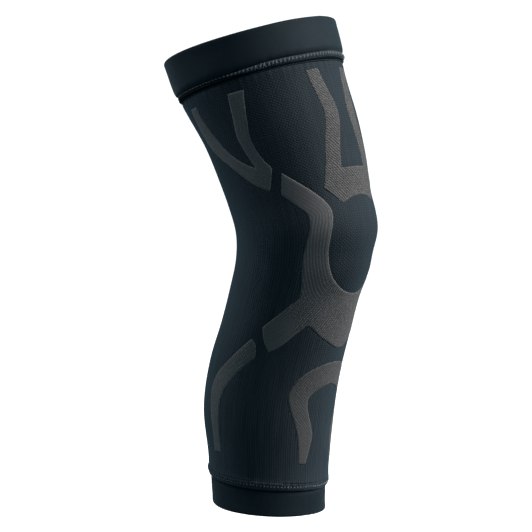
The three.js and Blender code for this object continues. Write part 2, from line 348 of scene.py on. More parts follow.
def add_mesh(name, points, faces, uv, materials, face_material=None, fields=None):
    mesh = bpy.data.meshes.new(name)
    mesh.from_pydata(points.reshape(-1, 3).tolist(), [], faces if isinstance(faces, list) else faces.tolist())
    layer = mesh.uv_layers.new(name="Cloth")
    layer.data.foreach_set("uv", uv.reshape(-1).astype(np.float32))
    for key, values in (fields or {}).items():
        attribute = mesh.attributes.new(key, "FLOAT", "POINT")
        attribute.data.foreach_set("value", values.reshape(-1).astype(np.float32))
    for material in materials:
        mesh.materials.append(material)
    if face_material is not None:
        mesh.polygons.foreach_set("material_index", face_material)
    mesh.polygons.foreach_set("use_smooth", np.ones(len(faces), bool))
    mesh.update()
    piece = bpy.data.objects.new(name, mesh)
    bpy.context.collection.objects.link(piece)
    PIECES.append(piece)
    return piece


def ring_faces(rows, columns, closed):
    """Quads of a grid that closes round the sleeve, and also in its profile where closed is true."""
    r = np.arange(rows if closed else rows - 1)
    c = np.arange(columns)
    r, c = [a.reshape(-1) for a in np.meshgrid(r, c, indexing="ij")]
    up, on = (r + 1) % rows, (c + 1) % columns
    return np.stack([r * columns + c, r * columns + on, up * columns + on, up * columns + c], -1), r, c


def ring_uv(r, c, columns, lengths):
    """The way round in metres at the knee's radius, and the way along the profile."""
    u0, u1 = c / columns, (c + 1) / columns
    u0, u1 = (u0 - 0.5) * TURN * FLAT_RADIUS, (u1 - 0.5) * TURN * FLAT_RADIUS
    v0, v1 = lengths[r], lengths[r + 1]
    corners = [np.stack([u, v], -1) for u, v in ((u0, v0), (u1, v0), (u1, v1), (u0, v1))]
    return np.stack(corners, 1)


def around_ring(columns):
    return -math.pi + TURN * np.arange(columns) / columns


def ring_wall(profile, columns):
    """A closed wall round the sleeve.

    Each profile row is (station, out), and both may vary with the angle.
    """
    angle = around_ring(columns)
    station, out = [
        np.stack([np.broadcast_to(row[k](angle) if callable(row[k]) else row[k], columns) for row in profile])
        for k in (0, 1)
    ]
    points = surface(station, angle[None, :], out)
    faces, r, c = ring_faces(len(profile), columns, True)
    middle = points[:, columns // 4]
    steps = np.linalg.norm(np.diff(np.vstack([middle, middle[:1]]), axis=0), axis=1)
    lengths = np.concatenate([[0], np.cumsum(steps)]) + station[0, columns // 4]
    return points.reshape(-1, 3), faces, ring_uv(r, c, columns, lengths), r


def short_threads(station, angle, out, radius):
    """Points, faces and flat places of six-sided threads, one for each row of the paths.

    Two quads close each end.
    """
    points = surface(station, angle, out)
    outward = surface(station, angle, out + 0.001) - points
    outward /= np.linalg.norm(outward, axis=-1)[..., None]
    ahead = np.gradient(points, axis=1)
    ahead /= np.linalg.norm(ahead, axis=-1)[..., None]
    side = np.cross(ahead, outward)
    side /= np.linalg.norm(side, axis=-1)[..., None]
    rows, steps = station.shape
    thick = radius * np.sqrt(1 - 0.85 * np.linspace(-1, 1, steps) ** 4)[None, :, None, None]
    turn = TURN * np.arange(THREAD_SIDES) / THREAD_SIDES
    cos, sin = np.cos(turn)[:, None], np.sin(turn)[:, None]
    ring = points[:, :, None] + thick * (cos * side[:, :, None] + sin * np.cross(side, ahead)[:, :, None])
    counts = (np.arange(rows), np.arange(steps - 1), np.arange(THREAD_SIDES))
    row, i, k = [a.reshape(-1) for a in np.meshgrid(*counts, indexing="ij")]
    here, on = (row * steps + i) * THREAD_SIDES, (k + 1) % THREAD_SIDES
    after = here + THREAD_SIDES
    faces = [np.stack([here + k, after + k, after + on, here + on], -1)]
    first = np.arange(rows)[:, None] * steps * THREAD_SIDES
    last = first + (steps - 1) * THREAD_SIDES
    for end, order in ((first, ((0, 1, 2, 3), (0, 3, 4, 5))), (last, ((3, 2, 1, 0), (5, 4, 3, 0)))):
        faces += [end + np.array(corners) for corners in order]
    flat = np.repeat(np.stack([angle * FLAT_RADIUS, station], -1).reshape(-1, 2), THREAD_SIDES, axis=0)
    return ring.reshape(-1, 3), np.vstack(faces), flat


def toward_front(angle):
    """1 on the front, falling to 0 at the sides and back."""
    return 1 - smooth_step(math.radians(26), math.radians(72), np.abs(angle))


def stitch_paths(middle, reach, lean, count, out, seed):
    """Short slanted stitches across a seam, a row for each, slightly uneven, with their ends in the cloth."""
    rng = np.random.default_rng(seed)
    way = np.linspace(-1, 1, 7)
    at = -math.pi + TURN * (np.arange(count) + 0.5 + rng.uniform(-0.13, 0.13, count)) / count
    size = 1 + rng.uniform(-0.2, 0.2, count)
    half = (reach(at) * size / 2)[:, None] * way
    angle = at[:, None] + half * lean / FLAT_RADIUS
    station = middle(at)[:, None] + half
    return station, angle, out(station, angle) - 0.0004 * way**4


class Nodes:
    """Short calls for a material's node tree."""

    def __init__(self, name):
        self.material = bpy.data.materials.new(name)
        self.material.use_nodes = True
        self.tree = self.material.node_tree
        self.shader = self.tree.nodes["Principled BSDF"]

    def link(self, value, socket):
        if isinstance(value, bpy.types.NodeSocket):
            self.tree.links.new(value, socket)
        else:
            socket.default_value = value

    def add(self, kind, inputs=None, **settings):
        node = self.tree.nodes.new(kind)
        for key, value in settings.items():
            setattr(node, key, value)
        for key, value in (inputs or {}).items():
            self.link(value, node.inputs[key])
        return node

    def math(self, operation, a, b=0.0):
        return self.add("ShaderNodeMath", {0: a, 1: b}, operation=operation).outputs[0]

    def total(self, *parts):
        """Sum of (value, weight) pairs."""
        result = None
        for value, weight in parts:
            part = self.math("MULTIPLY", value, weight)
            result = part if result is None else self.math("ADD", result, part)
        return result

    def wave(self, *parts):
        """A wave from 0 to 1 whose phase in turns is the sum of (value, weight) pairs."""
        phase = self.math("MULTIPLY", self.total(*parts), TURN)
        return self.ramp(self.math("COSINE", phase), -1.0, 1.0)

    def blend(self, factor, a, b):
        rest = self.math("SUBTRACT", 1.0, factor)
        return self.math("ADD", self.math("MULTIPLY", a, rest), self.math("MULTIPLY", b, factor))

    def ramp(self, value, from_low, from_high, to_low=0.0, to_high=1.0):
        inputs = {0: value, 1: from_low, 2: from_high, 3: to_low, 4: to_high}
        return self.add("ShaderNodeMapRange", inputs).outputs[0]

    def noise(self, vector, scale, detail=2.0, rough=0.5):
        inputs = {"Vector": vector, "Scale": scale, "Detail": detail, "Roughness": rough}
        return self.add("ShaderNodeTexNoise", inputs).outputs[0]

    def field(self, name):
        return self.add("ShaderNodeAttribute", attribute_name=name).outputs["Fac"]

    def mix(self, factor, a, b):
        node = self.add("ShaderNodeMix", data_type="RGBA")
        self.link(factor, node.inputs[0])
        self.link(a, node.inputs[6])
        self.link(b, node.inputs[7])
        return node.outputs[2]

    def coordinates(self):
        uv = self.add("ShaderNodeUVMap", uv_map="Cloth").outputs[0]
        parts = self.add("ShaderNodeSeparateXYZ", {0: uv})
        place = self.add("ShaderNodeTexCoord").outputs["Object"]
        return parts.outputs[0], parts.outputs[1], place

    def stitches(self, u, v, wale, course, wander, place):
        """Plain knit: how high its columns stand, and the loops along them, which make V stitches."""
        drift = self.math("MULTIPLY", self.math("SUBTRACT", self.noise(place, 60.0), 0.5), wander)
        w = self.math("ADD", self.math("DIVIDE", u, wale), drift)
        off_middle = self.math("ABSOLUTE", self.math("SUBTRACT", self.math("FRACT", w), 0.5))
        fold = self.math("MULTIPLY", off_middle, 2.0)
        column = self.math("SUBTRACT", 1.0, self.math("POWER", fold, 2.0))
        return column, self.wave((v, 1 / course), (fold, 0.55))

    def finish(self, color, roughness, height, distance, strength):
        self.link(color, self.shader.inputs["Base Color"])
        self.link(roughness, self.shader.inputs["Roughness"])
        bump = self.add("ShaderNodeBump", {"Strength": strength, "Distance": distance, "Height": height})
        self.tree.links.new(bump.outputs[0], self.shader.inputs["Normal"])
        return self.material

    def sheen(self, weight, rough, tint, specular):
        self.shader.inputs["Sheen Weight"].default_value = weight
        self.shader.inputs["Sheen Roughness"].default_value = rough
        self.shader.inputs["Sheen Tint"].default_value = (*tint, 1)
        self.shader.inputs["Specular IOR Level"].default_value = specular


def knit_material():
    n = Nodes("dark_knit")
    u, v, place = n.coordinates()
    column, loop = n.stitches(u, v, WALE, COURSE, 0.5, place)
    drift = n.math("SUBTRACT", n.noise(place, 130.0, 3.0), 0.5)
    down = n.wave((u, 275.0), (v, 440.0), (drift, 1.5))
    up = n.wave((u, 430.0), (v, -330.0), (drift, -1.5))
    patchy = n.ramp(n.noise(place, 260.0, 2.0), 0.3, 0.7)
    kneecap = n.math("MULTIPLY", n.ramp(n.math("ABSOLUTE", u), 0.046, 0.036), n.ramp(v, -0.050, -0.035))
    high = n.math("MAXIMUM", n.ramp(v, -0.01, 0.05), kneecap)
    low = n.math("SUBTRACT", 1.0, high)
    dots = n.math("MULTIPLY", n.total((down, 1.0), (0.25, 1.0)), n.total((up, 1.0), (0.25, 1.0)))
    diamonds = n.blend(patchy, n.math("MULTIPLY", dots, 0.95), n.total((down, 0.45), (up, 0.45)))
    diamonds = n.math("ADD", n.math("MULTIPLY", diamonds, 0.42), 0.20)
    weave = n.total(
        (loop, 0.25),
        (n.math("MULTIPLY", column, low), 0.62),
        (n.math("MULTIPLY", diamonds, high), 1.0),
        (kneecap, 0.1),
    )
    across, along = n.math("MULTIPLY", u, 400.0), n.math("MULTIPLY", v, 24.0)
    streak = n.add("ShaderNodeCombineXYZ", {0: across, 1: along, 2: 0.0})
    mottle = n.noise(streak.outputs[0], 1.0, 3.0, 0.6)
    amount = n.total((weave, 0.75), (n.math("MULTIPLY", mottle, n.ramp(high, 0.0, 1.0, 1.0, 0.45)), 0.8))
    amount = n.math("ADD", amount, n.math("MULTIPLY", n.noise(place, 28.0), 0.2))
    color = n.mix(n.ramp(amount, 0.40, 1.15), (0.0016, 0.0044, 0.0068, 1), (0.0195, 0.0260, 0.0310, 1))
    n.sheen(weight=0.05, rough=0.5, tint=(0.5, 0.8, 1.0), specular=0.07)
    return n.finish(color, roughness=0.78, height=weave, distance=0.0004, strength=0.9)


def zone_material():
    n = Nodes("grey_zone_knit")
    u, v, place = n.coordinates()
    column, loop = n.stitches(u, v, WALE / 1.2, COURSE, 0.35, place)
    away = n.math("ABSOLUTE", u)
    drift = n.math("SUBTRACT", n.noise(place, 130.0, 3.0), 0.5)
    fore = n.wave((away, 365.0), (v, 305.0), (drift, 2.0))
    back = n.wave((away, 355.0), (v, -400.0), (drift, 2.0))
    twill = n.blend(n.field("fore"), back, fore)
    pattern = n.blend(n.field("arm"), twill, n.field("rib"))
    broken = n.ramp(n.noise(place, 560.0, 2.0), 0.35, 0.65, 0.35, 1.0)
    dashes = n.total((n.math("MULTIPLY", pattern, broken), 0.74), (loop, 0.22), (column, 0.14))
    fleck = n.noise(place, 700.0, 2.0)
    patch = n.noise(place, 40.0, 2.0)
    contrast = n.field("contrast")
    amount = n.math("ADD", n.blend(contrast, 0.5, dashes), n.total((fleck, 0.24), (patch, 0.16)))
    color = n.mix(n.ramp(amount, 0.35, 1.05), (0.0145, 0.0140, 0.0145, 1), (0.0815, 0.0780, 0.0790, 1))
    # The colour is scaled by each zone's tone, which holds painted light: lighter where the zone lies in
    # shade
    painted_light_color = n.add("ShaderNodeVectorMath", {0: color}, operation="SCALE")
    n.link(n.field("tone_and_painted_light"), painted_light_color.inputs["Scale"])
    n.sheen(weight=0.05, rough=0.5, tint=(0.9, 0.9, 0.88), specular=0.10)
    height = n.blend(contrast, 0.5, dashes)
    return n.finish(painted_light_color.outputs[0], roughness=0.8, height=height, distance=0.0004, strength=0.8)


def hem_material():
    n = Nodes("smooth_hem_knit")
    u, v, place = n.coordinates()
    fine = n.noise(place, 1500.0, 2.0)
    soft = n.noise(place, 22.0, 3.0)
    column, loop = n.stitches(u, v, WALE / 3, COURSE / 2, 0.3, place)
    height = n.total((column, 0.4), (loop, 0.2), (fine, 0.4))
    amount = n.total((fine, 0.75), (soft, 0.4), (column, 0.15))
    color = n.mix(n.ramp(amount, 0.4, 0.9), (0.0026, 0.0066, 0.0094, 1), (0.0098, 0.0158, 0.0200, 1))
    n.sheen(weight=0.12, rough=0.3, tint=(0.8, 0.92, 1.0), specular=0.06)
    return n.finish(color, roughness=0.72, height=height, distance=0.00018, strength=0.9)


def seam_material(name, dark, light, sheen, specular):
    n = Nodes(name)
    place = n.coordinates()[2]
    fibre = n.noise(place, 2200.0, 2.0)
    soft = n.noise(place, 90.0, 2.0)
    color = n.mix(n.ramp(n.total((fibre, 0.5), (soft, 0.5)), 0.3, 0.7), (*dark, 1), (*light, 1))
    n.sheen(weight=sheen, rough=0.4, tint=(0.5, 0.8, 0.95), specular=specular)
    return n.finish(color, roughness=0.75, height=fibre, distance=0.0001, strength=0.4)


KNIT = knit_material()
GREY = zone_material()
HEM = hem_material()
RIDGE_CLOTH = seam_material("seam_ridge", (0.0085, 0.0135, 0.0170), (0.0200, 0.0270, 0.0320), 0.03, 0.05)
# Near-black cloth that is painted shade: the top seam's roll under its ridge, the crease at the bottom seam's
# foot, its top edge and the seams' insides
ROLL_PAINTED_SHADE = seam_material("seam_roll_painted_shade", (0.0004, 0.0018, 0.0030), (0.0010, 0.0030, 0.0044), 0.0, 0.02)
TOP_THREAD = seam_material("top_thread", (0.042, 0.052, 0.058), (0.090, 0.104, 0.112), 0.04, 0.08)
BOTTOM_THREAD = seam_material("bottom_thread", (0.090, 0.114, 0.124), (0.170, 0.200, 0.210), 0.04, 0.1)


def zone_fields(zone, x, station, gap):
    """How the knit runs in a zone: ribs along an arm, slanted ribs elsewhere, their lean and contrast."""
    away = np.abs(x) / FLAT_RADIUS
    degrees = np.degrees(away)
    sway = 0.8 * ripples(station, away, seed=41, waves=8, around=(3, 16), along=(0.02, 0.06))
    rib = 0.5 + 0.5 * np.cos(TURN * gap / RIB_PITCH + sway)
    arm, fore, contrast = 0 * x, 0 * x, 1 + 0 * x
    if zone == "knee_cradle":
        arm = smooth_step(30, 42, degrees) * smooth_step(-0.048, -0.022, station)
        tail = smooth_step(48, 60, degrees) * (1 - smooth_step(-0.062, -0.045, station))
        fore = 1 + 0 * x
        contrast = (0.80 - 0.6 * tail) * (1 - arm) + (0.26 - 0.17 * smooth_step(0.015, 0.035, station)) * arm
    elif zone == "shin_arch":
        fore = smooth_step(-0.122, -0.110, station)
        contrast = 0.45 + 0.25 * fore
    elif zone == "thigh_v":
        arm, contrast = 0.3 + 0 * x, 0.42 + 0 * x
    elif zone == "calf_band":
        arm, contrast = 0.25 + 0 * x, 0.6 + 0 * x
    return {"rib": rib, "arm": arm, "fore": fore, "contrast": contrast, "tone_and_painted_light": ZONE_PAINTED_LIGHT[zone] + 0 * x}


# For each side of a cell, the step in rows and columns to its neighbour, and the side's two corners
CELL_SIDES = (
    ((-1, 0), (0, 0), (0, 1)),
    ((0, 1), (0, 1), (1, 1)),
    ((1, 0), (1, 1), (1, 0)),
    ((0, -1), (1, 0), (0, 0)),
)


def zone_piece(name, zone, side):
    """Fine cells of knit inside a zone's outline, a closed layer that starts 0.6 mm below the surface."""
    outline, leads = zone_outline(zone, side)
    low, high = outline.min(0) - CELL, outline.max(0) + CELL
    x, y = np.meshgrid(np.arange(low[0], high[0] + CELL, CELL), np.arange(low[1], high[1] + CELL, CELL))
    middle_x, middle_y = (x[:-1, :-1] + x[1:, 1:]) / 2, (y[:-1, :-1] + y[1:, 1:]) / 2
    cells = inside(outline, middle_x, middle_y)
    padded = np.pad(cells, 1)
    corners = [padded[:-1, :-1], padded[:-1, 1:], padded[1:, :-1], padded[1:, 1:]]
    used = np.logical_or.reduce(corners)
    border = (used & ~np.logical_and.reduce(corners))[used]
    sx, sy = x[used], y[used]
    gap, at = nearest(outline, sx, sy)
    sx = np.where(border, sx + ZONE_SNAP * (at[:, 0] - sx), sx)
    sy = np.where(border, sy + ZONE_SNAP * (at[:, 1] - sy), sy)
    gap = np.where(border, 0, gap)
    fields = zone_fields(zone, sx, sy, nearest(outline, sx, sy, leads)[0])
    edge = 1 - smooth_step(0, ZONE_EDGE, gap)
    relief = 0.5 + 1.3 * fields["contrast"] * fields["arm"] * (fields["rib"] - 0.5)
    fields["tone_and_painted_light"] = fields["tone_and_painted_light"] * (1 + 0.16 * edge)
    angle = sx / FLAT_RADIUS
    out = soft_waves(sy, angle) + ZONE_STAND + ZONE_RIBS * relief * (1 - edge) - ZONE_EDGE_DROP * edge
    count = len(sx)
    index = -np.ones(x.shape, int)
    index[used] = np.arange(count)
    top, under = surface(sy, angle, out), surface(sy, angle, -ZONE_DEPTH)
    r, c = np.nonzero(cells)
    quads = np.stack([index[r, c], index[r, c + 1], index[r + 1, c + 1], index[r + 1, c]], -1)
    walls = []
    for (dr, dc), a, b in CELL_SIDES:
        free = ~padded[r + 1 + dr, c + 1 + dc]
        i = index[r[free] + a[0], c[free] + a[1]]
        j = index[r[free] + b[0], c[free] + b[1]]
        walls.append(np.stack([j, i, i + count, j + count], -1))
    faces = np.vstack([quads, quads[:, ::-1] + count, *walls])
    flat = np.concatenate([np.stack([sx, sy], -1)] * 2)
    fields = {key: np.concatenate([values, values]) for key, values in fields.items()}
    return add_mesh(name, np.vstack([top, under]), faces, flat[faces], [GREY], None, fields), outline


outlines = []
for zone, (crosses, _) in ZONES.items():
    for name, side in ([(zone, 1)] if crosses else [(zone + "_left", 1), (zone + "_right", -1)]):
        piece, outline = zone_piece(name + "_knit", zone, side)
        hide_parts(name)
        outlines.append(outline)

# Rows of the tube's outer wall, as heights above its foot, closer together at both ends
BODY_RISE = np.concatenate([
    [-0.0005, 0.0003, 0.0013, 0.0026, 0.0042, 0.0062, 0.0086],
    np.linspace(0.0115, 0.3215, 93),
    [0.3232, 0.3241, 0.3247, 0.325],
])


def body_wall():
    """The tube's outer wall: its ribs stand out in the mesh, and it gives way under the zones."""
    station = TUBE_BOTTOM + BODY_RISE
    s, t = np.meshgrid(station, around_ring(BODY_COLUMNS), indexing="ij")
    lifted = raised(s, t)
    x = t * FLAT_RADIUS
    dip = np.zeros(s.shape)
    for outline in outlines:
        low, high = outline.min(0) - ZONE_MARGIN, outline.max(0) + ZONE_MARGIN
        window = np.ix_((station > low[1]) & (station < high[1]), (x[0] > low[0]) & (x[0] < high[0]))
        gap, _ = nearest(outline, x[window], lifted[window])
        sunk = smooth_step(0.0004, 0.0030, gap) * inside(outline, x[window], lifted[window])
        dip[window] = np.maximum(dip[window], sunk)
    foot, head = s - TUBE_BOTTOM, TUBE_TOP - s
    fade = smooth_step(0.0, 0.004, head) * smooth_step(0.0, 0.003, foot)
    out = 0.00008 * np.cos(WALES * t) * (0.35 + 0.65 * smooth_step(0.05, -0.02, s)) * fade
    out = out + soft_waves(lifted, t) + foot_puff(s, t)
    gather = ripples(s * 0.3, t, seed=8, waves=12, around=(30, 80), along=(0.05, 0.1))
    out = out + 0.00015 * gather * np.exp(-(head / 0.007) ** 2) - 0.0007 * np.exp(-(head / 0.0014) ** 2)
    return lifted, t, out - ZONE_BED * dip


def tube_piece():
    """The knitted tube: a fine outer wall and a plain inner one, joined by a rim at both ends."""
    body_s, body_t, body_out = body_wall()
    outer = surface(body_s, body_t, body_out)
    levels = np.linspace(TUBE_TOP, TUBE_BOTTOM, INNER_ROWS)
    inner_s, inner_t = np.meshgrid(levels, around_ring(WALES), indexing="ij")
    inner_s = raised(inner_s, inner_t)
    inner = surface(inner_s, inner_t, -KNIT_WALL)
    outer_faces, r, c = ring_faces(*outer.shape[:2], False)
    outer_uv = ring_uv(r, c, BODY_COLUMNS, body_s[:, BODY_COLUMNS // 2])
    inner_faces, r, c = ring_faces(*inner.shape[:2], False)
    inner_uv = ring_uv(r, c, WALES, inner_s[:, WALES // 2])
    first_inner = body_s.size
    rims = []
    for wide, narrow, flip in (
        (first_inner - BODY_COLUMNS, first_inner, False),
        (0, first_inner + inner_s.size - WALES, True),
    ):
        for i in range(BODY_COLUMNS):
            j = (i + 1) % BODY_COLUMNS
            ring = [wide + i, wide + j, narrow + j // 4, narrow + i // 4]
            ring = [p for k, p in enumerate(ring) if p != ring[k - 1]]
            rims.append(ring[::-1] if flip else ring)
    walls = ((body_t, body_s), (inner_t, inner_s))
    flat = np.vstack([np.stack([t * FLAT_RADIUS, s], -1).reshape(-1, 2) for t, s in walls])
    rim_uv = np.array([flat[p] for ring in rims for p in ring])
    uv = np.vstack([outer_uv.reshape(-1, 2), inner_uv.reshape(-1, 2), rim_uv])
    faces = outer_faces.tolist() + (inner_faces + first_inner).tolist() + rims
    points = np.vstack([outer.reshape(-1, 3), inner.reshape(-1, 3)])
    return add_mesh("sleeve_body_knit", points, faces, uv, [KNIT])


body = tube_piece()
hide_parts("sleeve_body")


def hem_piece(name, free_edge, seam_edge, inset_at_seam, seeds, trim, swell, lift):
    """A folded hem, with a pair of seeds for its unevenness.

    By the angle, trim cuts it shorter, swell makes it stand out and lift raises it at its seam.
    """
    bend = HEM_WALL / 2
    way = 1 if free_edge > seam_edge else -1
    fold_start = free_edge - way * bend

    def placed(station):
        share = (station - seam_edge) / (free_edge - seam_edge)
        return lambda angle: station - way * share * trim(angle) + (1 - share) * lift(angle)

    def inset_at(station):
        return inset_at_seam * (station - fold_start) / (seam_edge - fold_start)

    def outside(station):
        from_seam = abs(station - seam_edge)
        from_fold = abs(station - fold_start)
        tuck = 0.0009 * math.exp(-(from_seam / 0.0010) ** 2)
        cushion = 0.00035 * math.exp(-(from_fold / 0.004) ** 2)
        stand = smooth_step(0, HEM_STAND, from_seam)

        def out(angle):
            soft = 0.00022 * ripples(station, angle, seeds[0], waves=8, around=(2, 6), along=(0.03, 0.08))
            pucker = ripples(station * 0.2, angle, seeds[1], waves=10, around=(26, 60), along=(0.05, 0.1))
            pucker = 0.00010 * pucker
            pucker = pucker * math.exp(-from_seam / 0.004)
            return -inset_at(station) - tuck + cushion + soft + pucker + stand * swell(angle)

        return out

    def fold_out(turn):
        return lambda angle: outside(fold_start)(angle) - bend * (1 - math.cos(turn * math.pi))

    def inner_out(station):
        stand = smooth_step(0, HEM_STAND, abs(station - seam_edge))
        return lambda angle: -inset_at(station) - HEM_WALL + stand * swell(angle)

    steps = np.concatenate([[0, 0.0008, 0.002], np.linspace(0.004, abs(fold_start - seam_edge), 12)])
    stations = seam_edge + way * steps
    rows = [(placed(s), outside(s)) for s in stations]
    turns = np.arange(1, 8) / 8
    rows += [(placed(fold_start + way * bend * math.sin(k * math.pi)), fold_out(k)) for k in turns]
    rows += [(placed(s), inner_out(s)) for s in stations[::-3]]
    rows.append((placed(seam_edge), inner_out(seam_edge)))
    points, faces, uv, _ = ring_wall(rows if way > 0 else rows[::-1], HEM_COLUMNS)
    piece = add_mesh(name, points, faces, uv, [HEM])
    return piece


def no_change(angle):
    return 0 * angle


def top_trim(angle):
    away = degrees_away(angle)
    return 0.0020 * np.exp(-((away - 52) / np.where(away > 52, 50, 30)) ** 2) + 0.0013 * hump(away, 6, 26)


def ridge_fullness(angle):
    """1 round the front, where the top seam's ridge is full, falling to 0 at the sides and back."""
    return 1 - smooth_step(math.radians(52), math.radians(88), np.abs(angle))


def head_drop(angle):
    """How far the top hem reaches below its CAD edge: 0.6 mm at the front and 2.9 mm round the back."""
    away = degrees_away(angle)
    return 0.0006 + 0.0006 * smooth_step(0, 30, away) + 0.0017 * smooth_step(42, 80, away)


def top_lift(angle):
    return -head_drop(angle)


def top_swell(angle):
    return 0.0013 + 0.0009 * hump(degrees_away(angle), 150, 48)


def bottom_trim(angle):
    away = degrees_away(angle)
    return 0.0012 * hump(away, 8, 34) + 0.0010 * hump(away, 150, 25)


top_band = hem_piece(
    "top_band_cloth", THIGH_REACH, TOP_HEM_FOOT, 0.0, (11, 12), top_trim, top_swell, top_lift
)
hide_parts("top_band")
bottom_band = hem_piece(
    "bottom_band_cloth", -CALF_REACH, BOTTOM_HEM_HEAD, BOTTOM_HEM_INSET, (13, 14),
    bottom_trim, no_change, foot_lift,
)
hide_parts("bottom_band")


def seam_piece(name, profile, row_materials, materials, threads):
    """A seam round the sleeve, with a material for each row of its profile.

    The last material is for its threads.
    """
    points, faces, uv, r = ring_wall(profile, SEAM_COLUMNS)
    all_points, all_faces, all_uv, numbers = [points], [faces], [uv], [np.array(row_materials)[r]]
    base = len(points)
    for path, radius in threads:
        thread_points, thread_faces, flat = short_threads(*path, radius)
        all_points.append(thread_points)
        all_faces.append(thread_faces + base)
        all_uv.append(flat[thread_faces])
        numbers.append(np.full(len(thread_faces), len(materials) - 1))
        base += len(thread_points)
    parts = [np.vstack(all_points), np.vstack(all_faces), np.vstack(all_uv)]
    piece = add_mesh(name, *parts, materials, np.concatenate(numbers).astype(int))
    return piece


def row_between(start, end, share, out):
    """A profile row that lies a share of the way from start to end, which may vary with the angle."""
    return lambda angle: start(angle) + (end(angle) - start(angle)) * share, lambda angle: out(share, angle)


def foot_line(angle):
    return TOP_SEAM_FOOT + 0 * angle


def head_line(angle):
    return TOP_SEAM_HEAD - head_drop(angle)


def roll_foot(angle):
    """Where the roll starts, whose near-black colour is painted shade: higher at the front, where it stands
    out less.
    """
    return TOP_SEAM_FOOT + 0.0002 + 0.0004 * ridge_fullness(angle)


def groove(angle):
    """The station between roll and ridge: the ridge is narrow at the back and full at the front."""
    return head_line(angle) - RIDGE * (0.34 + 0.88 * ridge_fullness(angle))


def lap_out(share, angle):
    return -SEAM_SINK + 0.0002 * np.sin(math.pi * share) * ridge_fullness(angle)


def roll_out(share, angle):
    uneven = 0.00010 * ripples(TOP_SEAM_FOOT, angle, seed=21, waves=8, around=(9, 34), along=(0.02, 0.05))
    height = 0.0015 - 0.0007 * ridge_fullness(angle) + uneven
    return -SEAM_SINK + height * np.sin(math.pi * np.clip(share, 0, 1) ** 0.8)


def ridge_out(share, angle):
    uneven = 0.00008 * ripples(TOP_SEAM_HEAD, angle, seed=22, waves=8, around=(12, 40), along=(0.02, 0.05))
    height = 0.0010 + 0.0007 * ridge_fullness(angle) + uneven
    return -SEAM_SINK + height * np.sin(math.pi * np.clip(share, 0, 1))


lap_shares = (0, 0.35, 0.7)
roll_shares = (0, 0.1, 0.22, 0.36, 0.5, 0.66, 0.82, 0.94)
ridge_shares = (0, 0.12, 0.26, 0.42, 0.58, 0.74, 0.88, 1)
# The profile from the foot up: the lap on the tube, the roll in near-black painted shade, the pale ridge and
# the inside, also in that painted shade
top_rows = [row_between(foot_line, roll_foot, share, lap_out) for share in lap_shares]
top_rows += [row_between(roll_foot, groove, share, roll_out) for share in roll_shares]
top_rows += [row_between(groove, head_line, share, ridge_out) for share in ridge_shares]
top_rows += [(head_line, -HEM_WALL), (TOP_SEAM_FOOT, -HEM_WALL)]
top_kinds = [0] * len(lap_shares) + [1] * len(roll_shares) + [2] * (len(ridge_shares) - 1) + [1, 1, 1]


def over_ridge(lift):
    def out(station, angle):
        return ridge_out((station - groove(angle)) / (head_line(angle) - groove(angle)), angle) + lift

    return out


def ridge_middle(angle):
    return (groove(angle) + head_line(angle)) / 2


def ridge_reach(angle):
    return 0.0007 + 0.0029 * ridge_fullness(angle)


def scaled(line, share):
    return lambda angle: line(angle) * share


# Each row of stitches: its paths and the radius of its threads
short_ridge_reach = scaled(ridge_reach, 0.8)
top_threads = [
    (stitch_paths(ridge_middle, ridge_reach, 0.5, STITCHES_TOP, over_ridge(0.00010), 31), 0.00042),
    (stitch_paths(ridge_middle, short_ridge_reach, -0.9, STITCHES_TOP, over_ridge(0.0), 33), 0.00032),
]
top_materials = [KNIT, ROLL_PAINTED_SHADE, RIDGE_CLOTH, TOP_THREAD]
top_seam = seam_piece("top_seam_stitched", top_rows, top_kinds, top_materials, top_threads)
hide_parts("top_seam")


def lower_out(up, angle):
    """The rolled edge above the crease, the stitch line, and the start of the tube's fullness."""
    uneven = 0.00012 * ripples(BOTTOM_SEAM_FOOT, angle, seed=23, waves=8, around=(9, 34), along=(0.02, 0.05))
    roll = (0.0010 + uneven) * np.sin(math.pi * np.clip(up / STITCH_LINE, 0, 1) ** 0.7)
    sunk = 0.0013 * (1 - smooth_step(0, 0.0050, up)) + 0.00030 * hump(up, STITCH_LINE, 0.0006)
    return roll - sunk + foot_puff(BOTTOM_SEAM_FOOT + up, angle) * smooth_step(0.001, 0.006, up)


def lower_row(up):
    return (
        lambda angle: BOTTOM_SEAM_FOOT + up + foot_lift(angle),
        lambda angle: lower_out(up, angle) - 0.00012 * (up > 0.007),
    )


# Heights of the bottom seam's rows above its foot, closer together at the stitch line
lower_ups = (
    0, 0.0003, 0.0007, 0.0012, 0.0018, 0.0024, 0.0030, 0.0034,
    0.0037, 0.0040, 0.0043, 0.0047, 0.0053, 0.0060, 0.0067, RIDGE + ROLL,
)
bottom_rows = [lower_row(up) for up in lower_ups]
bottom_rows += [
    (lambda angle: BOTTOM_SEAM_HEAD + foot_lift(angle), -HEM_WALL),
    (lambda angle: BOTTOM_SEAM_FOOT + foot_lift(angle), -HEM_WALL),
]
# Kind 1 is the near-black painted shade: the strip in the crease at the foot, the seam's top edge and the
# inside rows
bottom_kinds = [1] + [0] * (len(lower_ups) - 2) + [1, 1, 1]


def stitch_line(angle):
    uneven = 0.0001 * ripples(0.0, angle, seed=24, waves=6, around=(5, 20), along=(1, 2))
    return BOTTOM_SEAM_FOOT + STITCH_LINE + foot_lift(angle) + uneven


def over_line(lift):
    return lambda station, angle: lower_out(station - foot_lift(angle) - BOTTOM_SEAM_FOOT, angle) + lift


def tick_reach(angle):
    return 0.0009 + 0.0008 * toward_front(angle / 1.3)


